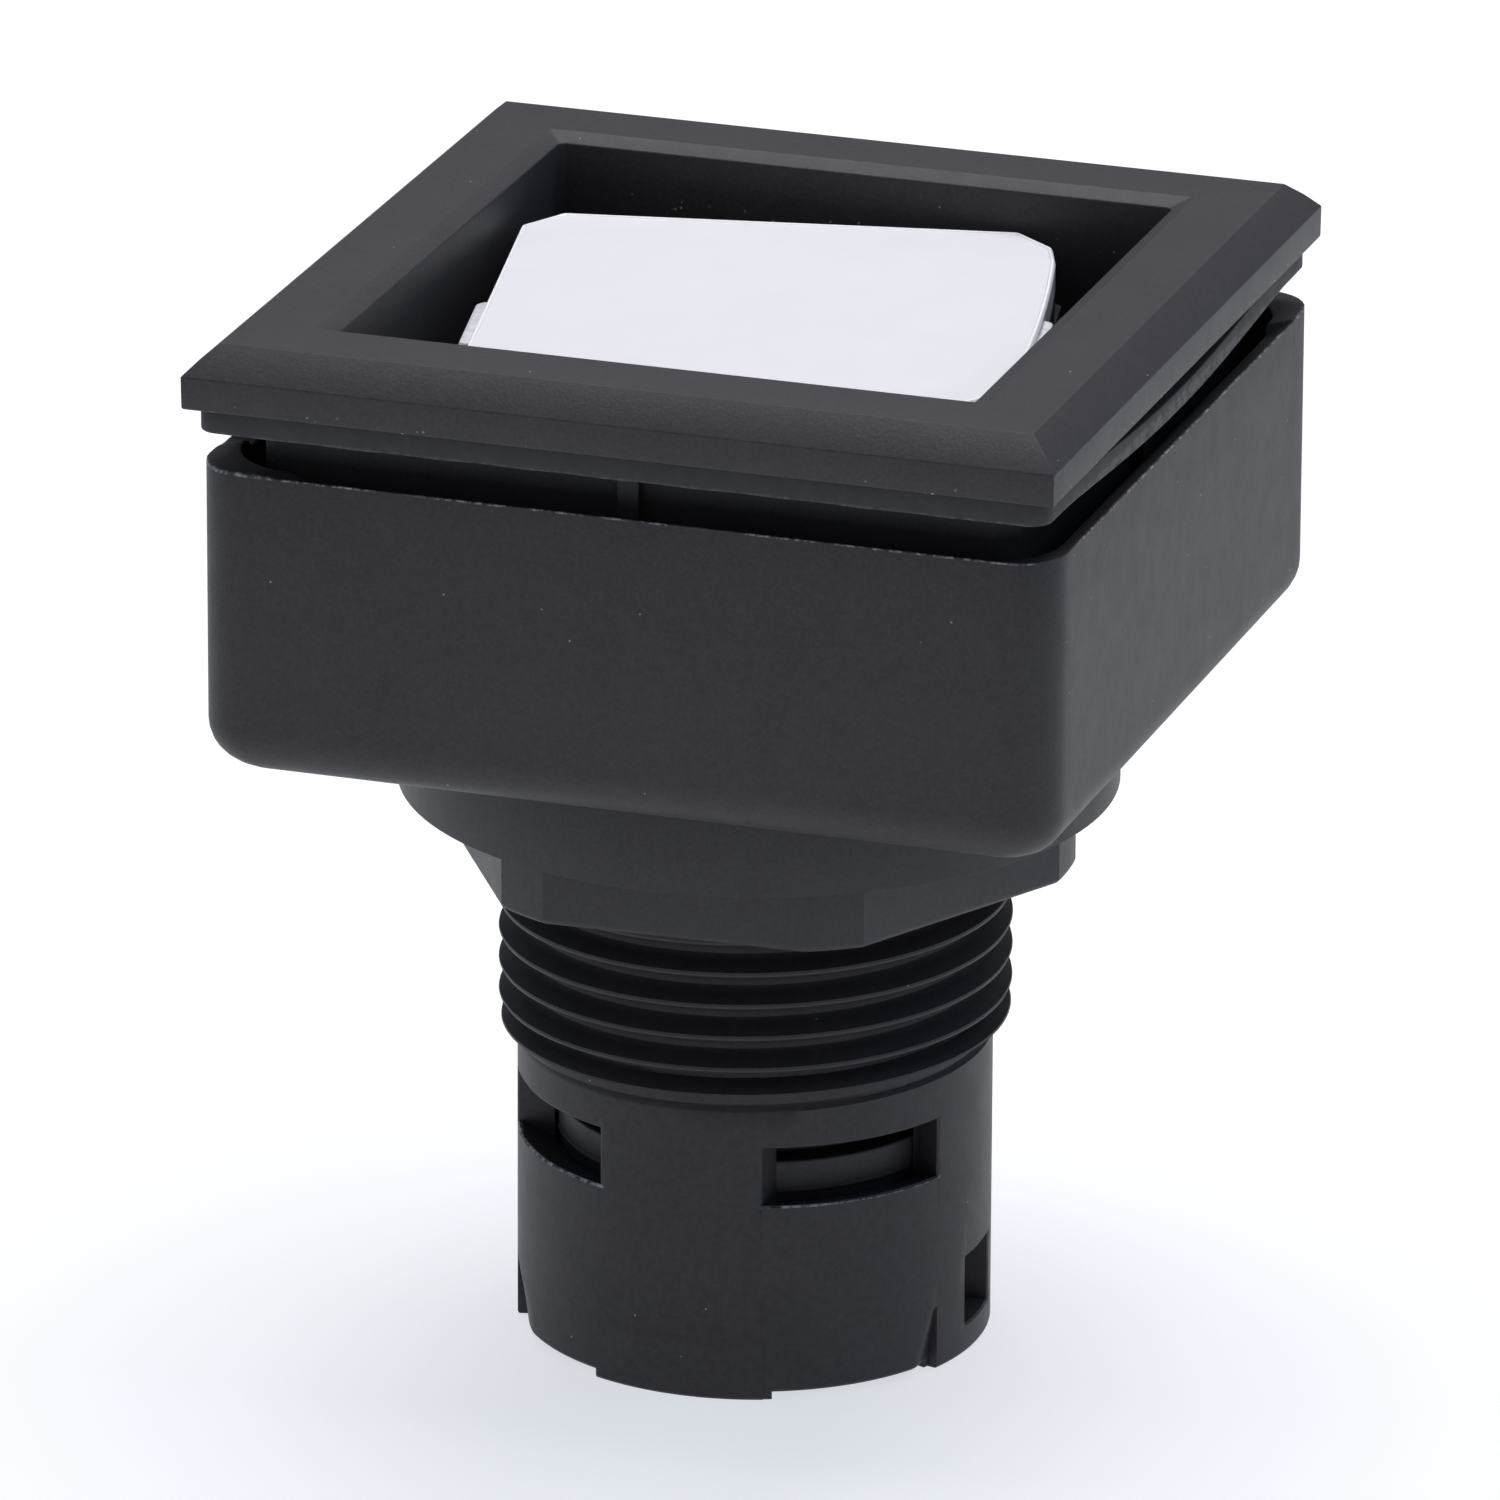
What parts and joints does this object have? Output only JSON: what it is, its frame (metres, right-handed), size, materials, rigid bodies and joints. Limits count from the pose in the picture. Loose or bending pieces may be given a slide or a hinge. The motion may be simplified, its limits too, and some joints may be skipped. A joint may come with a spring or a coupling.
{
  "type": "illuminated push button",
  "caption": "Square flush-mount illuminated push button head: recessed white lens in a chamfered frame, panel gasket, clamp cup, lock nut and threaded barrel with bayonet recesses.",
  "frame": {"origin": "centre of the barrel's rear edge, on which the button stands", "axes": "+Z along the barrel to the front face, -Y towards the frame side that is broadest in the picture, +X to its right"},
  "size_m": [0.0379, 0.0378, 0.0476],
  "materials": {
    "frame_plastic": "black moulded plastic, fine matt grain",
    "gasket_rubber": "dark grey rubber",
    "housing_plastic": "black moulded plastic",
    "seal_rubber": "black rubber",
    "barrel_plastic": "black moulded plastic, satin",
    "cup_plastic": "black moulded plastic, fine matt grain",
    "washer_steel": "zinc plated",
    "nut_plastic": "black moulded plastic",
    "sleeve_plastic": "dark grey moulded plastic",
    "ring_steel": "spring steel",
    "plunger_plastic": "light grey moulded plastic",
    "spring_steel": "drawn spring wire",
    "clear_plastic": "clear moulded plastic",
    "carrier_plastic": "light moulded plastic",
    "diffuser_plastic": "frosted",
    "legend_plastic": "plain white",
    "lens_seal_rubber": "pale silicone",
    "lens_plastic": "white translucent plastic"
  },
  "bodies": {
    "housing": {"front_frame": "frame_plastic", "front_gasket": "gasket_rubber", "well_housing": "housing_plastic", "barrel_seal": "seal_rubber", "threaded_barrel": "barrel_plastic", "guide_sleeve": "sleeve_plastic", "retaining_ring": "ring_steel", "plunger_seal": "seal_rubber", "return_spring": "spring_steel"},
    "button": {"plunger": "plunger_plastic", "plunger_clip": "ring_steel", "light_guide": "clear_plastic"},
    "head": {"lens_carrier": "carrier_plastic", "diffuser_plate": "diffuser_plastic", "legend_plate": "legend_plastic", "lens_seal": "lens_seal_rubber", "lens_cap": "lens_plastic"},
    "cup": {"clamp_cup": "cup_plastic", "thrust_washer": "washer_steel"},
    "nut": {"lock_nut": "nut_plastic"}
  },
  "joints": [
    {"name": "button_press", "type": "slide", "parent": "housing", "child": "button", "axis": [0, 0, -1], "range_m": [0, 0.0038], "stiffness_N_per_m": 300, "springref_m": -0.005, "deforming": ["return_spring"]},
    {"name": "head_turn", "type": "hinge", "parent": "button", "child": "head", "pos_m": [0, 0, 0.0411], "axis": [0, 0, 1], "range_deg": [-25, 2]},
    {"name": "cup_slide", "type": "slide", "parent": "housing", "child": "cup", "axis": [0, 0, 1], "range_m": [-0.00428, 0.00107]},
    {"name": "nut_turn", "type": "hinge", "parent": "cup", "child": "nut", "pos_m": [0, 0, 0.0245], "axis": [0, 0, 1], "range_deg": [-1080, 270]}
  ],
  "couplings": [
    {"joint": "nut_turn", "follows": "cup_slide", "rad_per_m": 4393.8}
  ]
}
